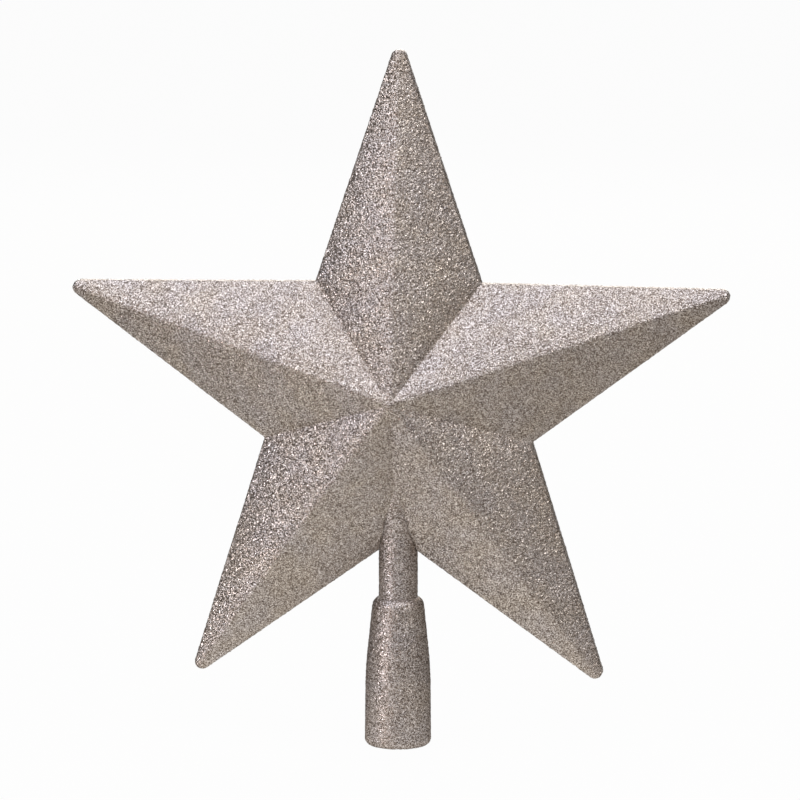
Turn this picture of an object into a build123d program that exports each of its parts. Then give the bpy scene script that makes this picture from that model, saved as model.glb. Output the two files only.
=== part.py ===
from build123d import *

import os
from math import acos, atan2, cos, hypot, pi, sin

# Five-pointed star for the top of a tree. Two hollow half shells meet on the plane y = 0, a stem tube is
# held between them by its collar, and a flared socket on the tube's lower end goes over the tree's leader.
# Millimetres, +Z up, origin at the centre of the socket's mouth. The star lies in the XZ plane and its
# front faces -Y.

# Star form
point_count = 5
tip_radius = 98.4  # star centre to a tip, before the tip is rounded
notch_radius = 38.5  # star centre to the corner between two arms
half_depth = 20.0  # parting plane to the apex, before the ridges are rounded
rim_half_depth = 1.5  # parting plane to the lower edge of the facets
tip_round = 2.1
ridge_round = 2.5
rim_round = 1.2
shell_wall = 1.6
least_round = 0.3  # smallest corner left inside the wall

# Tongue and groove round the rim
tongue_height = 1.0
lap_gap = 0.1

# Pegs and bosses that line the shells up, one in each arm
peg_circle_radius = 50.0
peg_diameter = 3.2
peg_length = 4.0
peg_gap = 0.1
peg_end_gap = 0.5
peg_chamfer = 0.4
boss_wall = 1.6

# Stem tube
neck_diameter = 10.6
neck_wall = 1.5
neck_length = 16.7  # from the socket's top to the notch that it enters
neck_gap = 0.1  # round the neck where it goes through the shells
neck_chamfer = 0.4
stem_top_below_centre = 5.0
collar_below_centre = 15.0  # star centre to the middle of the collar
collar_step = 2.2
collar_thickness = 2.0
collar_gap = 0.1
rib_thickness = 1.8
rib_margin = 3.0  # how far the ribs reach past the collar on each side

# Tree socket
socket_bore_diameter = 13.3
socket_bore_depth = 21.0
socket_wall = 2.4
socket_draft = 0.2  # radius lost over the height of the barrel
barrel_above_bore = 0.5
barrel_blend = 110.0  # radius that softens the turn from the barrel to the cone
throat_height = 11.0  # tapered passage from the bore to the neck's seat
seat_depth = 9.0  # length of neck held in the socket
seat_gap = 0.05
seat_ledge = 0.6  # width of the ring that the neck stands on
shoulder_step = 1.8  # neck to the top of the cone
shoulder_round = 3.2
shoulder_land = 0.2
lip_round = 2.0
lip_land = 0.3  # least flat ring left at the mouth

# Worked-out sizes
arm_angle = 360 / point_count
half_arm = pi / point_count
notch_x = notch_radius * cos(half_arm)
notch_y = notch_radius * sin(half_arm)
edge_distance = tip_radius * sin(atan2(notch_y, tip_radius - notch_x))
lap_line = (shell_wall - lap_gap) / 2
neck_radius = neck_diameter / 2
collar_radius = neck_radius + collar_step
peg_radius = peg_diameter / 2
peg_hole_radius = peg_radius + peg_gap
boss_radius = peg_hole_radius + boss_wall
bore_radius = socket_bore_diameter / 2
seat_radius = neck_radius + seat_gap
seat_height = socket_bore_depth + throat_height
socket_height = seat_height + seat_depth
star_centre_height = socket_height + neck_length + notch_radius
collar_height = star_centre_height - collar_below_centre
stem_top = star_centre_height - stem_top_below_centre
above_star = 2 * half_depth  # safely past the apex
upright = 0.001  # most that an upright wall's normal rises

# Each shell is drawn with its plan in XY and its depth along Z, then turned to face the front or the back
star_centre = (0, 0, star_centre_height)
front_placing = Plane(star_centre, x_dir=(1, 0, 0), z_dir=(0, -1, 0))
back_placing = Plane(star_centre, x_dir=(-1, 0, 0), z_dir=(0, 1, 0))
standing = (Align.CENTER, Align.CENTER, Align.MIN)


def drawn_in(inset):
    """Scale of the star's plan when each edge is moved in by inset."""
    return (edge_distance - inset) / edge_distance


def rounded_tips(corners, inset):
    """A closed plan through the corners, with those at the star's tips rounded."""
    plan = make_face(Polyline(*corners, close=True))
    half_way = drawn_in(inset) * (tip_radius + notch_radius) / 2
    tips = [corner for corner in plan.vertices() if hypot(corner.X, corner.Y) > half_way]
    return fillet(tips, max(tip_round - inset, least_round))


def star_plan(inset):
    """The whole star's plan, drawn in by inset."""
    corners = []
    for corner in range(2 * point_count):
        reach = drawn_in(inset) * (notch_radius if corner % 2 else tip_radius)
        angle = pi / 2 + corner * half_arm
        corners.append((reach * cos(angle), reach * sin(angle)))
    return rounded_tips(corners, inset)


def arm_plan(inset):
    """One arm's kite along +X, from the star's centre to its tip, drawn in by inset."""
    scale = drawn_in(inset)
    left = (scale * notch_x, scale * notch_y)
    right = (scale * notch_x, -scale * notch_y)
    return rounded_tips([(0, 0), right, (scale * tip_radius, 0), left], inset)


def arm_wedge(inset):
    """The two facets of an arm and its rounded ridge, as a bar of wedge section along the ridge."""
    drop = half_depth - rim_half_depth
    ridge_length = hypot(tip_radius, drop)
    along = Vector(tip_radius, 0, -drop) / ridge_length
    section = Plane((0, 0, half_depth), x_dir=(0, 1, 0), z_dir=along)
    fall = (drop * along.X + notch_x * along.Z) / notch_y
    top = -inset * hypot(1, fall)
    foot = top - above_star
    spread = above_star / fall
    outline = make_face(Polyline((0, top), (spread, foot), (-spread, foot), close=True))
    ridge = outline.vertices().sort_by(Axis.Y)[-1]
    outline = fillet(ridge, max(ridge_round - inset, least_round))
    return extrude(section * outline, amount=2 * ridge_length, both=True)


def rim_edges(arm):
    """The upper edges of an arm's side walls, from one notch round the tip to the other."""
    walls = [face for face in arm.faces() if abs(face.normal_at().Z) < upright]
    sides = [face for face in walls if hypot(face.center().X, face.center().Y) > notch_radius]
    edges = [edge for face in sides for edge in face.edges()]
    return [edge for edge in edges if min(corner.Z for corner in edge.vertices()) > rim_half_depth / 2]


def plain_arm(inset):
    """One arm drawn in by inset, along +X."""
    return arm_wedge(inset) & extrude(arm_plan(inset), amount=above_star)


def rounded_arm():
    """One arm of the star's outside, along +X, with its rim rounded."""
    arm = plain_arm(0)
    return fillet(rim_edges(arm), rim_round)


def ring_of_arms(arm):
    """The arm repeated round the star's centre, with one arm upwards."""
    ring = Part()
    for turn in range(point_count):
        ring += Rot(0, 0, 90 + turn * arm_angle) * arm
    return ring


def round_bar(radius, low, high):
    """A round bar along Z, from low to high."""
    return Pos(0, 0, low) * Cylinder(radius, high - low, align=standing)


def stem_bar(radius, low, high):
    """A round bar along the stem's axis in a shell's own placing, low and high from the star's centre."""
    return Rot(-90, 0, 0) * round_bar(radius, low, high)


def stem_passage():
    """The room that the stem and its collar take in a shell, with their gaps."""
    half_slot = collar_thickness / 2 + collar_gap
    slot_low = -collar_below_centre - half_slot
    slot_high = -collar_below_centre + half_slot
    neck = stem_bar(neck_radius + neck_gap, -tip_radius, collar_gap - stem_top_below_centre)
    return neck + stem_bar(collar_radius + collar_gap, slot_low, slot_high)


def collar_ribs():
    """The ribs above and below the collar, which hold the stem in a shell."""
    step = (collar_thickness + rib_thickness) / 2 + collar_gap
    width = 2 * (collar_radius + rib_margin)
    rib = Box(width, rib_thickness, above_star, align=standing)
    return [Pos(0, side * step - collar_below_centre, 0) * rib for side in (-1, 1)]


def on_each_arm(piece):
    """Copies of a piece at the peg's place on every arm."""
    return [place * piece for place in PolarLocations(peg_circle_radius, point_count, 90)]


def shell_blank(cavity):
    """What the two shells share: the wall, the peg bosses and the ribs that hold the stem."""
    blank = ring_of_arms(rounded_arm()) - cavity
    inner = on_each_arm(round_bar(boss_radius, 0, above_star)) + collar_ribs()
    for piece in inner:
        blank += piece & cavity
    return blank


def rim_band(outer_inset, inner_inset, height):
    """A band that follows the rim between two insets, from the parting plane to height."""
    return extrude(star_plan(outer_inset) - star_plan(inner_inset), amount=height)


def front_shell(blank):
    """Front half, with the tongue round its rim and holes for the pegs."""
    shell = blank + rim_band(lap_line + lap_gap, shell_wall, -tongue_height)
    shell -= on_each_arm(round_bar(peg_hole_radius, 0, peg_length + peg_end_gap))
    return front_placing * (shell - stem_passage())


def back_shell(blank):
    """Back half, with the groove for the tongue and a peg on each boss."""
    shell = blank - rim_band(lap_line, shell_wall + lap_gap, tongue_height + lap_gap)
    peg = round_bar(peg_radius, -peg_length, 0)
    peg = chamfer(peg.edges().sort_by(Axis.Z)[0], peg_chamfer)
    shell += on_each_arm(peg)
    return back_placing * (shell - stem_passage())


def stem_tube():
    """Neck tube with a closed top, and the collar that the shells' ribs trap."""
    tube = round_bar(neck_radius, seat_height, stem_top)
    tube = chamfer(tube.edges().filter_by(GeomType.CIRCLE), neck_chamfer)
    half_collar = collar_thickness / 2
    tube += round_bar(collar_radius, collar_height - half_collar, collar_height + half_collar)
    return tube - round_bar(neck_radius - neck_wall, seat_height, stem_top - neck_wall)


def socket_section():
    """Half section of the socket: bore, throat and neck seat inside, barrel, cone and shoulder outside."""
    mouth_radius = bore_radius + socket_wall
    barrel = (mouth_radius - socket_draft, socket_bore_depth + barrel_above_bore)
    land = (seat_radius + shoulder_land, socket_height)
    arc_middle = neck_radius + shoulder_step - shoulder_round
    arc_angle = acos((land[0] - arc_middle) / shoulder_round)
    arc_height = socket_height - shoulder_round * sin(arc_angle)
    cone_top = (arc_middle + shoulder_round, arc_height)
    arc_point = (
        arc_middle + shoulder_round * cos(arc_angle / 2),
        arc_height + shoulder_round * sin(arc_angle / 2),
    )
    outline = Polyline((bore_radius, 0), (mouth_radius, 0), barrel, cone_top)
    outline += ThreePointArc(cone_top, arc_point, land)
    outline += Polyline(
        land,
        (seat_radius, socket_height),
        (seat_radius, seat_height),
        (seat_radius - seat_ledge, seat_height),
        (bore_radius, socket_bore_depth),
        (bore_radius, 0),
    )
    section = make_face(outline)
    lip = section.vertices().sort_by_distance((mouth_radius, 0))[0]
    section = fillet(lip, min(lip_round, socket_wall - lip_land))
    turn = section.vertices().sort_by_distance(barrel)[0]
    return fillet(turn, barrel_blend)


def tree_socket():
    """Flared sleeve on the stem's lower end, open at its mouth."""
    return revolve(Plane.XZ * socket_section(), axis=Axis.Z)


cavity = ring_of_arms(plain_arm(shell_wall))
blank = shell_blank(cavity)
nodes = {
    "front_shell": front_shell(blank),
    "back_shell": back_shell(blank),
    "stem_tube": stem_tube(),
    "tree_socket": tree_socket(),
}
os.makedirs("parts", exist_ok=True)
for name, piece in nodes.items():
    export_step(piece, f"parts/{name}.step")
    print(name, len(piece.solids()), round(piece.volume, 1), piece.is_valid)
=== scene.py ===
from math import acos, atan2, cos, hypot, pi, radians, sin, tan

import bpy
import numpy as np
from mathutils import Matrix, Vector
from mathutils.geometry import delaunay_2d_cdt


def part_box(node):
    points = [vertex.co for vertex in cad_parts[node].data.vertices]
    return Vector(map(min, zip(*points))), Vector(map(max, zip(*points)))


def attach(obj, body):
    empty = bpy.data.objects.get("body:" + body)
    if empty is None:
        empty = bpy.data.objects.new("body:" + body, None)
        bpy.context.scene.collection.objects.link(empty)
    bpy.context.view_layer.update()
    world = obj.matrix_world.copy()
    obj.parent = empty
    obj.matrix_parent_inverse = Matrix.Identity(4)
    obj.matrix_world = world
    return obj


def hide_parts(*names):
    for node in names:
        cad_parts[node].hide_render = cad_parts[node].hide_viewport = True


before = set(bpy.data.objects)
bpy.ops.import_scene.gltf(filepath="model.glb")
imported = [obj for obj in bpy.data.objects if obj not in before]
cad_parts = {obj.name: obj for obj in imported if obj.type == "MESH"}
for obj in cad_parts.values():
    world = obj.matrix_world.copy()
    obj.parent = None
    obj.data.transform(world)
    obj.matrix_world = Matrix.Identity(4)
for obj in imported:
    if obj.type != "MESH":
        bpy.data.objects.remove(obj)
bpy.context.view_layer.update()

# Sizes are in millimetres, as in the part's source, and meshes go to Blender in metres
metres = 0.001
millimetres = 1000

# Star form
arm_count = 5
tip_radius = 98.4
notch_radius = 38.5
half_depth = 20.0
rim_half_depth = 1.5
tip_round = 2.1
rim_round = 1.2
shell_wall = 1.6
ridge_soft = 0.6  # half width of the rounding along a ridge
crown = 0.2  # how much flatter a facet is at its ridge, and steeper at its edge, as a slope
valley_soft = 0.1  # height over which a valley is rounded
inner_tip_round = 0.5
hidden_scale = 0.2  # share of the texture's width that a shell's hidden faces take
plan_tolerance = 1e-6  # plan points closer than this are one

# Stem tube
neck_radius = 5.3
neck_wall = 1.5
neck_gap = 0.1
neck_chamfer = 0.4
axis_ring = 0.05  # radius of the small ring where an end face closes on the axis
collar_radius = 7.5
collar_thickness = 2.0
collar_below_centre = 15.0
coat_overlap = 2.0  # how far the coat runs on into the socket and the star
root_length = 13.5  # the neck's root deepens over this height above the notch, front and back
root_growth = 0.5  # by this share of the neck's radius

# Tree socket
bore_radius = 6.65
bore_depth = 21.0
mouth_radius = 9.05
barrel_radius = 8.85
barrel_height = 21.5
barrel_blend = 110.0
seat_radius = 5.35
seat_ledge = 0.6
cone_top_radius = 7.1
shoulder_round = 3.2
shoulder_land = 0.2
lip_round = 2.0

# Glitter coat
grain = 0.46  # spacing of the flakes
grain_jitter = 0.33  # how far a flake strays from its place, as a share of the spacing
star_relief = 0.05  # how far the flakes stand out of the coat, as a standard deviation
stem_relief = 0.036
flake_size = 0.21
star_tilt = 0.6  # how far the flakes lean from the surface, over the whole range
stem_tilt = 0.3
flake_tones = [
    (0.0, (0.2, 0.17, 0.145)),
    (0.32, (0.43, 0.395, 0.36)),
    (0.8, (1.25, 1.28, 1.31)),
    (1.0, (1.8, 1.9, 2.0)),
]
flake_roughness = [(0.0, (0.25,) * 3), (1.0, (0.5,) * 3)]
flake_metal = [(0.0, (0.6,) * 3), (1.0, (1.0,) * 3)]
patch_size = 9.0  # how far the coat drifts between warm and cool
patch_detail = 3  # finer layers in that drift
warm_below = 0.35  # levels of the drift where the coat is fully warm and fully cool
cool_above = 0.65
star_warm = (0.53, 0.45, 0.375)
star_cool = (0.52, 0.453, 0.405)
star_edge = (1, 1, 1)  # tint of the gloss at a grazing angle
stem_warm = (0.515, 0.437, 0.375)
stem_cool = (0.505, 0.441, 0.402)
stem_edge = (0.15, 0.13, 0.11)
seed = 11

# Bare plastic
mottle_size = 2.5  # how far the plastic's tone drifts
mottle_tones = [(0.3, (0.40, 0.35, 0.30)), (0.7, (0.46, 0.41, 0.36))]
mottle_polish = 0.1  # how much smoother than the mottle's own level the plastic is

# Floor, in metres
floor_half_side = 6
wall_height = 3
floor_colour = (0.45, 0.43, 0.39)
white_share = 0.97  # the rest is the floor's own colour, which takes the shadow
mirrored_centre = (-0.015, -0.065, 0)
mirrored_reach = 0.055  # the floor is as white in reflections this far round the centre
mirrored_end = 0.145  # and from here on only as white as the next value
mirrored_share = 0.05

# Light: each lamp's name, place and size in metres, power in watts and colour
surround_colour = (0.049, 0.044, 0.038)
lamps = [
    ("overhead", (-0.07, -0.4, 1.0), 1.65, 15.5, (0.957, 1.0, 1.14)),
    ("left", (-1.0, -1.1, 0.3), 0.35, 5.1, (1.025, 0.975, 1.05)),
    ("right", (1.1, -0.6, 0.9), 0.6, 4.7, (1.01, 0.995, 1.0)),
    ("behind", (0.0, 1.5, 1.1), 1.5, 21, (1.0, 1.0, 1.0)),
]

# Camera, with its angles in degrees
camera_azimuth = 7.112
camera_elevation = 7.511
camera_roll = 0.12
camera_distance = 1250.6
camera_target = (0.374, 0, 95.07)
camera_lens = 207.5
camera_sensor = 36

# Worked out from the sizes and the frame
arm_angle = 2 * pi / arm_count
half_arm = arm_angle / 2
notch_x = notch_radius * cos(half_arm)
notch_y = notch_radius * sin(half_arm)
tip_half_angle = atan2(notch_y, tip_radius - notch_x)
edge_distance = tip_radius * sin(tip_half_angle)
roof_fall = (half_depth - rim_half_depth) / edge_distance
tip_centre = tip_radius - tip_round / sin(tip_half_angle)
star_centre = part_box("front_shell")[1].z * millimetres - tip_centre - tip_round
socket_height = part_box("tree_socket")[1].z * millimetres
seat_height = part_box("stem_tube")[0].z * millimetres
stem_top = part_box("stem_tube")[1].z * millimetres
random = np.random.default_rng(seed)


# Star surface

def soft_abs(value, width):
    """Absolute value with its corner rounded over plus and minus width."""
    size = np.abs(value)
    return np.where(size < width, (value**2 + width**2) / (2 * width), size)


def arm_place(x, y):
    """Distances along and across the nearest arm."""
    turn = np.round((np.arctan2(y, x) - pi / 2) / arm_angle) * arm_angle + pi / 2
    return x * np.cos(turn) + y * np.sin(turn), y * np.cos(turn) - x * np.sin(turn)


def facet_height(along, across):
    """Height over the parting plane of an arm's two slightly crowned facets and its rounded ridge."""
    side = soft_abs(across, ridge_soft)
    edge = along * sin(tip_half_angle) + side * cos(tip_half_angle)
    width = np.minimum(along * tan(half_arm), (tip_radius - along) * tan(tip_half_angle))
    bulge = crown * side * (1 - side / np.maximum(width, tip_round))
    return half_depth - roof_fall * edge + bulge


def roof(x, y):
    """Height of the star's outside over the parting plane, with soft ridges and valleys."""
    along, across = arm_place(x, y)
    side = np.abs(across)
    own = facet_height(along, across)
    beside = facet_height(
        along * cos(arm_angle) + side * sin(arm_angle),
        side * cos(arm_angle) - along * sin(arm_angle),
    )
    return (own + beside) / 2 + soft_abs((own - beside) / 2, valley_soft)


def roof_normals(x, y):
    """Unit normals of the star's outside."""
    step = grain / 2
    rise_x = (roof(x + step, y) - roof(x - step, y)) / (2 * step)
    rise_y = (roof(x, y + step) - roof(x, y - step)) / (2 * step)
    normals = np.column_stack([-rise_x, -rise_y, np.ones_like(rise_x)])
    return normals / np.linalg.norm(normals, axis=1, keepdims=True)


def inside_plan(x, y, margin):
    """Which points lie inside the star's outline by at least margin."""
    along, across = arm_place(x, y)
    side = np.abs(across)
    edge = along * sin(tip_half_angle) + side * cos(tip_half_angle)
    past_centre = along - tip_centre
    at_tip = past_centre * cos(tip_half_angle) > side * sin(tip_half_angle)
    round_tip = np.hypot(past_centre, side) < tip_round - margin
    return (edge < edge_distance - margin) & (~at_tip | round_tip)


def arm_outline():
    """Points round one arm along +X, from a notch up to the next, with their outward normals.

    The slides are how far along the edge a point moves when the outline is drawn in by one millimetre,
    so that the sides of a notch stay joined.
    """
    notch = np.array([notch_x, -notch_y])
    normal = np.array([sin(tip_half_angle), -cos(tip_half_angle)])
    edge_end = np.array([tip_centre, 0]) + tip_round * normal
    steps = round(np.linalg.norm(edge_end - notch) / grain)
    share = np.arange(steps)[:, None] / steps
    side_points = notch + share * (edge_end - notch)
    side_normals = np.tile(normal, (steps, 1))
    side_slides = (1 - share) * (normal - notch / edge_distance)

    sweep = pi / 2 - tip_half_angle
    angles = np.linspace(-sweep, sweep, round(2 * sweep * tip_round / grain) + 1)
    arc_normals = np.column_stack([np.cos(angles), np.sin(angles)])
    arc_points = np.array([tip_centre, 0]) + tip_round * arc_normals

    mirror = np.array([1, -1])
    return tuple(
        np.vstack([side, arc, side[:0:-1] * mirror])
        for side, arc in (
            (side_points, arc_points),
            (side_normals, arc_normals),
            (side_slides, np.zeros_like(arc_points)),
        )
    )


def star_outline():
    """The outline's points, normals and slides round all the arms."""
    turned = []
    for arm in range(arm_count):
        angle = pi / 2 + arm * arm_angle
        turn = np.array([[cos(angle), sin(angle)], [-sin(angle), cos(angle)]])
        turned.append([values @ turn for values in arm_outline()])
    return [np.vstack(values) for values in zip(*turned)]


def half_step_on(outline):
    """The outline's samples moved half a step along."""
    points, normals, slides = [(values + np.roll(values, -1, axis=0)) / 2 for values in outline]
    return points, normals / np.linalg.norm(normals, axis=1, keepdims=True), slides


def rim_row(outline, share):
    """One row of the rim, at a share of the way from the parting line to the facets.

    Gives the places, the normals and the plan of the row when the rim is rolled out flat.
    """
    points, normals, slides = outline
    inner = points - grain * normals
    height = roof(*points.T)
    fall = np.arctan((roof(*inner.T) - height) / grain)
    wall = height - rim_round * (1 - np.sin(fall)) / np.cos(fall)
    length = wall + rim_round * (pi / 2 - fall)
    run = share * length
    turn = np.clip((run - wall) / rim_round, 0, None)
    inset = (rim_round * (1 - np.cos(turn)))[:, None]
    rise = np.minimum(run, wall) + rim_round * np.sin(turn)
    plan = points - inset * (normals - slides)
    places = np.column_stack([plan, rise])
    row_normals = np.column_stack([normals * np.cos(turn)[:, None], np.sin(turn)])
    last_inset = (rim_round * (1 - np.sin(fall)))[:, None]
    flat = points - last_inset * (normals - slides) + (length - run)[:, None] * normals
    return places, row_normals, flat


# Meshes from rows

def band(row_count, column_count, shifts):
    """Triangles between neighbouring rows of a band, as arrays of their corners' rows and columns."""
    corners = []
    for low in range(row_count - 1):
        high = low + 1
        if shifts[high] >= shifts[low]:
            corners += [[(low, 0), (low, 1), (high, 0)], [(high, 0), (low, 1), (high, 1)]]
        else:
            corners += [[(low, 0), (high, 1), (high, 0)], [(low, 0), (low, 1), (high, 1)]]
    corners = np.array(corners)
    rows = np.repeat(corners[:, :, 0], column_count, axis=0)
    columns = np.tile(np.arange(column_count), len(corners))[:, None]
    return rows, columns + np.repeat(corners[:, :, 1], column_count, axis=0)


def fill(points, loop_length, edges=()):
    """Triangles inside a loop of plan points, through the further points and along the given edges."""
    loop = [(corner, (corner + 1) % loop_length) for corner in range(loop_length)]
    places = [Vector(point) for point in points.tolist()]
    inside_only = 1
    found = delaunay_2d_cdt(
        places, loop + list(edges), [list(range(loop_length))], inside_only, plan_tolerance
    )
    sources = [originals[0] for originals in found[3]]
    return np.array([[sources[corner] for corner in face] for face in found[2]])


def add_piece(name, places, triangles, flat, coated):
    """A mesh object from places in millimetres, triangles, their corners' UV and which are coated."""
    mesh = bpy.data.meshes.new(name)
    mesh.from_pydata((places * metres).tolist(), [], triangles.tolist())
    mesh.uv_layers.new(name="OFBake").data.foreach_set("uv", flat.ravel())
    mesh.polygons.foreach_set("material_index", np.where(coated, 0, 1).astype(np.int32))
    mesh.update()
    piece = bpy.data.objects.new(name, mesh)
    bpy.context.scene.collection.objects.link(piece)
    return piece


# Star shells

def valley_places(margin):
    """Points along the valleys between the arms, and one at the apex."""
    reach = np.arange(grain, notch_radius - margin * notch_radius / edge_distance, grain)
    angles = pi / 2 + half_arm + arm_angle * np.arange(arm_count)[:, None]
    x = np.append(0, (reach * np.cos(angles)).ravel())
    y = np.append(0, (reach * np.sin(angles)).ravel())
    return np.column_stack([x, y])


def valley_distance(x, y):
    """Distance in plan from the nearest valley."""
    along, across = arm_place(x, y)
    return along * sin(half_arm) - np.abs(across) * cos(half_arm)


def flake_places(margin):
    """The valleys' points and the strayed points of a triangular grid inside the star's plan."""
    across = np.arange(-tip_radius, tip_radius, grain)
    up = np.arange(-tip_radius, tip_radius, grain * sin(pi / 3))
    x, y = np.meshgrid(across, up)
    x[1::2] += grain / 2
    x = x.ravel() + random.uniform(-grain_jitter, grain_jitter, x.size) * grain
    y = y.ravel() + random.uniform(-grain_jitter, grain_jitter, y.size) * grain
    kept = inside_plan(x, y, margin) & (valley_distance(x, y) > grain / 2)
    return np.vstack([valley_places(margin), np.column_stack([x[kept], y[kept]])])


def shell_outside():
    """The coated skin of a shell: its places, normals, plan when laid flat, triangles and rim length."""
    rim_length = rim_half_depth + rim_round
    row_count = round(rim_length / grain) + 1
    outline = star_outline()
    shifted = half_step_on(outline)
    rows = [rim_row(shifted if row % 2 else outline, row / (row_count - 1)) for row in range(row_count)]
    loop_length = len(outline[0])
    shifts = [row % 2 / 2 for row in range(row_count)]
    band_rows, band_columns = band(row_count, loop_length, shifts)
    rim_triangles = band_rows * loop_length + band_columns % loop_length

    top_plan = rows[-1][0][:, :2]
    flakes = flake_places(rim_round)
    roof_triangles = fill(np.vstack([top_plan, flakes]), loop_length)
    roof_triangles += (row_count - 1) * loop_length
    roof_places = np.column_stack([flakes, roof(*flakes.T)])

    places = np.vstack([row[0] for row in rows] + [roof_places])
    normals = np.vstack([row[1] for row in rows] + [roof_normals(*flakes.T)])
    flat = np.vstack([row[2] for row in rows] + [flakes])
    return places, normals, flat, np.vstack([rim_triangles, roof_triangles]), loop_length


def shell_inside(loop):
    """The shell's edge on the parting plane and its hollow, as further places and their triangles."""
    scale = 1 - shell_wall / edge_distance
    inner_tip = scale * tip_radius - inner_tip_round / sin(tip_half_angle) + inner_tip_round
    corners = []
    for corner in range(2 * arm_count):
        reach = scale * notch_radius if corner % 2 else inner_tip
        angle = pi / 2 + corner * half_arm
        corners.append((reach * cos(angle), reach * sin(angle), 0))
    apex = (0, 0, half_depth - shell_wall * hypot(1, roof_fall))
    places = np.array(corners + [apex])
    first = len(loop)
    middle = first + len(corners)
    edges = []
    for corner in range(len(corners)):
        edges += [(first + corner, first + (corner + 1) % len(corners)), (first + corner, middle)]
    triangles = fill(np.vstack([loop[:, :2], places[:, :2]]), len(loop), edges)
    return places, triangles[:, ::-1]


def star_shell(name, skin, turn):
    """One half of the star, with its own flakes on the skin, turned to the front or the back."""
    outer, normals, flat, outer_triangles, loop_length = skin
    heights = random.normal(0, star_relief, len(outer))
    heights[:loop_length] = 0
    inner, inner_triangles = shell_inside(outer[:loop_length])
    inner_triangles = np.where(
        inner_triangles < loop_length, inner_triangles, inner_triangles - loop_length + len(outer)
    )
    places = np.vstack([outer + heights[:, None] * normals, inner])
    triangles = np.vstack([outer_triangles, inner_triangles])

    span = 2 * (tip_radius + rim_half_depth + rim_round)
    outer_flat = flat / span + 0.5
    inner_flat = np.vstack([outer[:, :2], inner[:, :2]]) / span * hidden_scale + hidden_scale / 2
    inner_flat[:, 1] = 1 - inner_flat[:, 1]
    coated = np.arange(len(triangles)) < len(outer_triangles)
    corner_flat = np.vstack([
        outer_flat[outer_triangles].reshape(-1, 2),
        inner_flat[inner_triangles].reshape(-1, 2),
    ])

    x, y, depth = places.T
    placed = np.column_stack([turn * x, -turn * depth, star_centre + y])
    piece = add_piece(name, placed, triangles, corner_flat, coated)
    cut_neck_opening(piece)
    return piece


def root_depth(height):
    """How much deeper than round the neck is at a height."""
    above_notch = height - star_centre + notch_radius
    return 1 + root_growth * np.clip(above_notch / root_length, 0, 1)


def cut_neck_opening(piece):
    """The hole in a shell that the neck goes through, with no corner on the parting plane."""
    notch_height = star_centre - notch_radius
    levels = [
        notch_height - neck_radius,
        notch_height,
        notch_height + root_length,
        star_centre - collar_below_centre,
    ]
    count = round(2 * pi * neck_radius / grain)
    angles = 2 * pi * (np.arange(count) + 0.5) / count
    rings = [
        np.column_stack([
            (neck_radius + neck_gap) * np.cos(angles),
            (neck_radius * root_depth(level) + neck_gap) * np.sin(angles),
            np.full(count, level),
        ])
        for level in levels
    ]
    ends = [(0, 0, levels[0]), (0, 0, levels[-1])]
    places = np.vstack(rings + [ends])
    rows, columns = band(len(levels), count, [0] * len(levels))
    side = rows * count + columns % count
    column = np.arange(count)
    after = (column + 1) % count
    last = (len(levels) - 1) * count
    foot = np.column_stack([after, column, np.full(count, len(places) - 2)])
    head = np.column_stack([last + column, last + after, np.full(count, len(places) - 1)])
    triangles = np.vstack([side, foot, head])
    cutter = add_piece("neck_cutter", places, triangles, np.zeros((triangles.size, 2)), triangles[:, 0] < 0)
    cut = piece.modifiers.new("neck_opening", "BOOLEAN")
    cut.object = cutter
    cut.solver = "EXACT"
    result = piece.evaluated_get(bpy.context.evaluated_depsgraph_get())
    mesh = bpy.data.meshes.new_from_object(result)
    piece.modifiers.clear()
    piece.data = mesh
    bpy.data.objects.remove(cutter)


# Turned pieces

def turned_rows(profile):
    """Rows of radius, height, coat and run along a profile of (radius, height, coated up to here)."""
    rows = [(*profile[0][:2], False, 0.0)]
    run = 0.0
    for (r0, z0, _), (r1, z1, coated) in zip(profile, profile[1:]):
        length = hypot(r1 - r0, z1 - z0)
        steps = max(1, round(length / (grain * sin(pi / 3)))) if coated else 1
        for step in range(1, steps + 1):
            share = step / steps
            rows.append((r0 + share * (r1 - r0), z0 + share * (z1 - z0), coated, run + share * length))
        run += length
    return rows


def turned_piece(name, profile, flake_radius):
    """A piece turned about the Z axis from a closed profile, with flakes on its coated stretches."""
    rows = turned_rows(profile)
    radius, height, coated, run = (np.array(values) for values in zip(*rows))
    columns = round(2 * pi * flake_radius / grain)
    shifts = np.arange(len(rows)) % 2 / 2
    shifts[-1] = shifts[0]
    slope = np.column_stack([np.gradient(height), -np.gradient(radius)])
    slope /= np.linalg.norm(slope, axis=1, keepdims=True)
    relieved = coated & np.roll(coated, -1)

    angles = (np.arange(columns)[None, :] + shifts[:-1, None]) * 2 * pi / columns
    strays = random.uniform(-grain_jitter, grain_jitter, (2, len(rows) - 1, columns)) * grain
    strays *= relieved[:-1][None, :, None]
    heights = random.normal(0, stem_relief, (len(rows) - 1, columns)) * relieved[:-1, None]
    angles = angles + strays[0] / flake_radius
    ring_radius = radius[:-1, None] + heights * slope[:-1, :1] - strays[1] * slope[:-1, 1:]
    ring_height = height[:-1, None] + heights * slope[:-1, 1:] + strays[1] * slope[:-1, :1]
    ring_height = np.maximum(ring_height, 0)
    places = np.stack([ring_radius * np.cos(angles), ring_radius * np.sin(angles), ring_height], axis=-1)

    band_rows, band_columns = band(len(rows), columns, shifts)
    triangles = band_rows % (len(rows) - 1) * columns + band_columns % columns
    flat = np.stack([(band_columns + shifts[band_rows]) / (columns + 1), run[band_rows] / run[-1]], axis=-1)
    coated_triangles = coated[band_rows.max(axis=1)]
    return add_piece(name, places.reshape(-1, 3), triangles, flat.reshape(-1, 2), coated_triangles)


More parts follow.
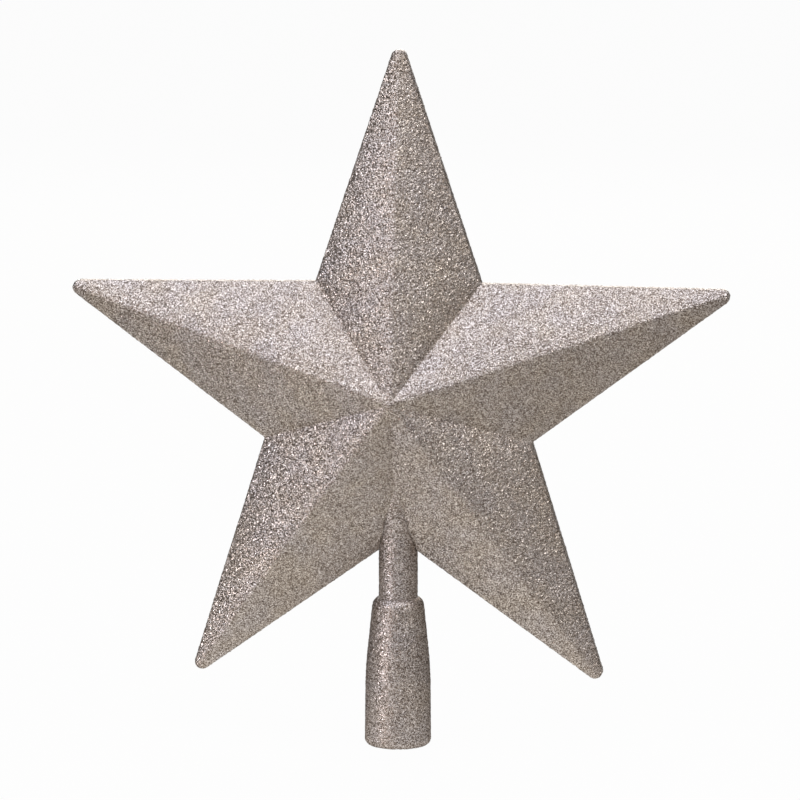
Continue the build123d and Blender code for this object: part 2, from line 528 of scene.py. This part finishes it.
def arc(centre, radius, start, end, coated):
    """Profile points along an arc, from one angle to another."""
    steps = max(2, round(abs(end - start) * radius / grain))
    angles = np.linspace(start, end, steps + 1)
    return [(centre[0] + radius * cos(a), centre[1] + radius * sin(a), coated) for a in angles]


def stem_tube():
    """The neck tube with its collar, coated where it shows between the socket and the star."""
    bore = neck_radius - neck_wall
    collar_low = star_centre - collar_below_centre - collar_thickness / 2
    collar_high = collar_low + collar_thickness
    coat_low = socket_height - coat_overlap
    coat_high = star_centre - notch_radius + root_length + coat_overlap
    profile = [
        (axis_ring, stem_top - neck_wall, False),
        (bore, stem_top - neck_wall, False),
        (bore, seat_height, False),
        (neck_radius - neck_chamfer, seat_height, False),
        (neck_radius, seat_height + neck_chamfer, False),
        (neck_radius, coat_low, False),
        (neck_radius, coat_high, True),
        (neck_radius, collar_low, False),
        (collar_radius, collar_low, False),
        (collar_radius, collar_high, False),
        (neck_radius, collar_high, False),
        (neck_radius, stem_top - neck_chamfer, False),
        (neck_radius - neck_chamfer, stem_top, False),
        (axis_ring, stem_top, False),
        (axis_ring, stem_top - neck_wall, False),
    ]
    piece = turned_piece("stem_tube_glitter", profile, neck_radius)
    for vertex in piece.data.vertices:
        height = vertex.co.z * millimetres
        if height < (coat_high + collar_low) / 2:
            vertex.co.y *= root_depth(height)
    return piece


def tree_socket():
    """The flared sleeve, coated outside from the lip to the shoulder."""
    land_radius = seat_radius + shoulder_land
    shoulder_middle = cone_top_radius - shoulder_round
    shoulder_angle = acos((land_radius - shoulder_middle) / shoulder_round)
    cone_top = socket_height - shoulder_round * sin(shoulder_angle)
    barrel_lean = atan2(mouth_radius - barrel_radius, barrel_height)
    cone_lean = atan2(barrel_radius - cone_top_radius, cone_top - barrel_height)
    turn = cone_lean - barrel_lean
    reach = barrel_blend * sin(turn / 2) / cos(turn / 2)
    blend_foot = (barrel_radius + reach * sin(barrel_lean), barrel_height - reach * cos(barrel_lean))
    blend_centre = (
        blend_foot[0] - barrel_blend * cos(barrel_lean),
        blend_foot[1] - barrel_blend * sin(barrel_lean),
    )
    lip_centre = (mouth_radius - lip_round, lip_round)
    profile = [(bore_radius, 0, False)]
    profile += arc(lip_centre, lip_round, -pi / 2, barrel_lean, True)
    profile += arc(blend_centre, barrel_blend, barrel_lean, cone_lean, True)
    profile += arc((shoulder_middle, cone_top), shoulder_round, cone_lean, shoulder_angle, True)
    profile += [
        (seat_radius, socket_height, False),
        (seat_radius, seat_height, False),
        (seat_radius - seat_ledge, seat_height, False),
        (bore_radius, bore_depth, False),
        (bore_radius, 0, False),
    ]
    return turned_piece("tree_socket_glitter", profile, barrel_radius)


# Materials

def link(tree, source, target):
    """Join two sockets of a node tree."""
    tree.links.new(source, target)


def ramp(tree, factor, stops):
    """A colour ramp driven by a factor, with stops of (position, colour)."""
    node = tree.nodes.new("ShaderNodeValToRGB")
    elements = node.color_ramp.elements
    while len(elements) < len(stops):
        elements.new(1)
    for element, (position, colour) in zip(elements, stops):
        element.position = position
        element.color = (*colour, 1)
    link(tree, factor, node.inputs["Fac"])
    return node.outputs["Color"]


def calculate(tree, operation, first, second):
    """A maths node on two values, each a socket or a number."""
    node = tree.nodes.new("ShaderNodeMath")
    node.operation = operation
    for socket, value in zip(node.inputs, (first, second)):
        if isinstance(value, (int, float)):
            socket.default_value = value
        else:
            link(tree, value, socket)
    return node.outputs[0]


def vector_maths(tree, operation, *values):
    """A vector maths node on sockets and constant vectors."""
    node = tree.nodes.new("ShaderNodeVectorMath")
    node.operation = operation
    for socket, value in zip(node.inputs, values):
        if isinstance(value, tuple):
            socket.default_value = value
        else:
            link(tree, value, socket)
    return node.outputs[0]


def glitter(name, warm, cool, tilt, edge):
    """A coat of flakes, each with its own brightness, gloss and tilt, that drifts from warm to cool."""
    material = bpy.data.materials.new(name)
    material.use_nodes = True
    tree = material.node_tree
    shader = tree.nodes["Principled BSDF"]
    shader.inputs["Specular Tint"].default_value = (*edge, 1)
    place = tree.nodes.new("ShaderNodeTexCoord").outputs["Object"]

    flakes = tree.nodes.new("ShaderNodeTexVoronoi")
    flakes.inputs["Scale"].default_value = millimetres / flake_size
    link(tree, place, flakes.inputs["Vector"])
    chance = tree.nodes.new("ShaderNodeSeparateColor")
    link(tree, flakes.outputs["Color"], chance.inputs["Color"])
    tone, gloss, metal = chance.outputs

    patches = tree.nodes.new("ShaderNodeTexNoise")
    patches.inputs["Scale"].default_value = millimetres / patch_size
    patches.inputs["Detail"].default_value = patch_detail
    link(tree, place, patches.inputs["Vector"])

    brightness = ramp(tree, tone, flake_tones)
    tint = ramp(tree, patches.outputs["Fac"], [(warm_below, warm), (cool_above, cool)])
    link(tree, vector_maths(tree, "MULTIPLY", brightness, tint), shader.inputs["Base Color"])
    link(tree, ramp(tree, gloss, flake_roughness), shader.inputs["Roughness"])
    link(tree, ramp(tree, metal, flake_metal), shader.inputs["Metallic"])

    mid_grey = (0.5, 0.5, 0.5)
    lean = vector_maths(tree, "SUBTRACT", flakes.outputs["Color"], mid_grey)
    normal = tree.nodes.new("ShaderNodeNewGeometry").outputs["Normal"]
    tilted = vector_maths(tree, "MULTIPLY_ADD", lean, (tilt, tilt, tilt), normal)
    link(tree, vector_maths(tree, "NORMALIZE", tilted), shader.inputs["Normal"])
    return material


def moulded_plastic():
    """Bare moulding inside the pieces, with the faint mottle of flowed plastic."""
    material = bpy.data.materials.new("bare_plastic")
    material.use_nodes = True
    tree = material.node_tree
    shader = tree.nodes["Principled BSDF"]
    noise = tree.nodes.new("ShaderNodeTexNoise")
    noise.inputs["Scale"].default_value = millimetres / mottle_size
    mottle = noise.outputs["Fac"]
    link(tree, tree.nodes.new("ShaderNodeTexCoord").outputs["Object"], noise.inputs["Vector"])
    link(tree, ramp(tree, mottle, mottle_tones), shader.inputs["Base Color"])
    link(tree, calculate(tree, "SUBTRACT", mottle, mottle_polish), shader.inputs["Roughness"])
    return material


# Scene

def mirrored_white(tree):
    """How white the floor is in reflections: full in front of the star and less away from there."""
    reach = tree.nodes.new("ShaderNodeVectorMath")
    reach.operation = "DISTANCE"
    link(tree, tree.nodes.new("ShaderNodeTexCoord").outputs["Object"], reach.inputs[0])
    reach.inputs[1].default_value = mirrored_centre
    fade = tree.nodes.new("ShaderNodeMapRange")
    fade.interpolation_type = "SMOOTHSTEP"
    link(tree, reach.outputs["Value"], fade.inputs["Value"])
    fade.inputs["From Min"].default_value = mirrored_reach
    fade.inputs["From Max"].default_value = mirrored_end
    fade.inputs["To Min"].default_value = white_share
    fade.inputs["To Max"].default_value = mirrored_share
    return fade.outputs["Result"]


def add_floor():
    """A wide pale floor with far walls, which takes a soft shadow.

    It is white to the camera, and in reflections near the star.
    """
    mesh = bpy.data.meshes.new("floor")
    square = [(-1, -1), (1, -1), (1, 1), (-1, 1)]
    corners = [(x * floor_half_side, y * floor_half_side, z) for z in (0, wall_height) for x, y in square]
    sides = len(square)
    walls = [(side, (side + 1) % sides, sides + (side + 1) % sides, sides + side) for side in range(sides)]
    mesh.from_pydata(corners, [], [tuple(range(sides))] + walls)
    floor = bpy.data.objects.new("floor", mesh)
    bpy.context.scene.collection.objects.link(floor)
    material = bpy.data.materials.new("floor")
    material.use_nodes = True
    tree = material.node_tree
    shader = tree.nodes["Principled BSDF"]
    shader.inputs["Base Color"].default_value = (*floor_colour, 1)
    shader.inputs["Roughness"].default_value = 1
    shader.inputs["Specular IOR Level"].default_value = 0
    paths = tree.nodes.new("ShaderNodeLightPath").outputs
    seen = calculate(tree, "MULTIPLY", paths["Is Camera Ray"], white_share)
    mirrored = calculate(tree, "MAXIMUM", paths["Is Glossy Ray"], paths["Is Transmission Ray"])
    mirrored = calculate(tree, "MULTIPLY", mirrored, mirrored_white(tree))
    glow = tree.nodes.new("ShaderNodeEmission")
    glow.inputs["Strength"].default_value = 1
    blend = tree.nodes.new("ShaderNodeMixShader")
    link(tree, calculate(tree, "MAXIMUM", seen, mirrored), blend.inputs["Fac"])
    link(tree, shader.outputs["BSDF"], blend.inputs[1])
    link(tree, glow.outputs["Emission"], blend.inputs[2])
    link(tree, blend.outputs["Shader"], tree.nodes["Material Output"].inputs["Surface"])
    mesh.materials.append(material)


def add_lamp(name, place, size, power, colour):
    """A square softbox that faces the star and that the camera doesn't see."""
    data = bpy.data.lights.new(name, "AREA")
    data.size = size
    data.energy = power
    data.color = colour
    lamp = bpy.data.objects.new(name, data)
    lamp.location = place
    lamp.visible_camera = False
    aim = Vector((0, 0, star_centre * metres)) - Vector(place)
    lamp.rotation_euler = aim.to_track_quat("-Z", "Y").to_euler()
    bpy.context.scene.collection.objects.link(lamp)


def add_light():
    """The lamps, in a dim warm surround."""
    world = bpy.data.worlds.new("surround")
    bpy.context.scene.world = world
    world.use_nodes = True
    world.node_tree.nodes["Background"].inputs["Color"].default_value = (*surround_colour, 1)
    for lamp in lamps:
        add_lamp(*lamp)


def add_camera():
    """The photograph's viewpoint, found from the star's ten corners in its 800 by 800 frame."""
    azimuth = radians(camera_azimuth)
    elevation = radians(camera_elevation)
    roll = radians(camera_roll)
    back = Vector((sin(azimuth) * cos(elevation), -cos(azimuth) * cos(elevation), sin(elevation)))
    level = Vector((cos(azimuth), sin(azimuth), 0))
    upward = back.cross(level)
    right = cos(roll) * level + sin(roll) * upward
    above = cos(roll) * upward - sin(roll) * level
    data = bpy.data.cameras.new("camera")
    data.sensor_width = camera_sensor
    data.lens = camera_lens
    camera = bpy.data.objects.new("camera", data)
    place = (Vector(camera_target) + camera_distance * back) * metres
    camera.matrix_world = Matrix.Translation(place) @ Matrix((right, above, back)).transposed().to_4x4()
    bpy.context.scene.collection.objects.link(camera)
    bpy.context.scene.camera = camera


def dress(piece, node, materials):
    """Give a piece its materials and its place in the part."""
    for material in materials:
        piece.data.materials.append(material)
    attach(piece, "root")
    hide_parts(node)


star_coat = glitter("star_glitter", star_warm, star_cool, star_tilt, star_edge)
stem_coat = glitter("stem_glitter", stem_warm, stem_cool, stem_tilt, stem_edge)
plastic = moulded_plastic()
skin = shell_outside()
dress(star_shell("front_shell_glitter", skin, 1), "front_shell", [star_coat, plastic])
dress(star_shell("back_shell_glitter", skin, -1), "back_shell", [star_coat, plastic])
dress(stem_tube(), "stem_tube", [stem_coat, plastic])
dress(tree_socket(), "tree_socket", [stem_coat, plastic])
add_floor()
add_light()
add_camera()
bpy.context.scene.view_settings.view_transform = "Standard"
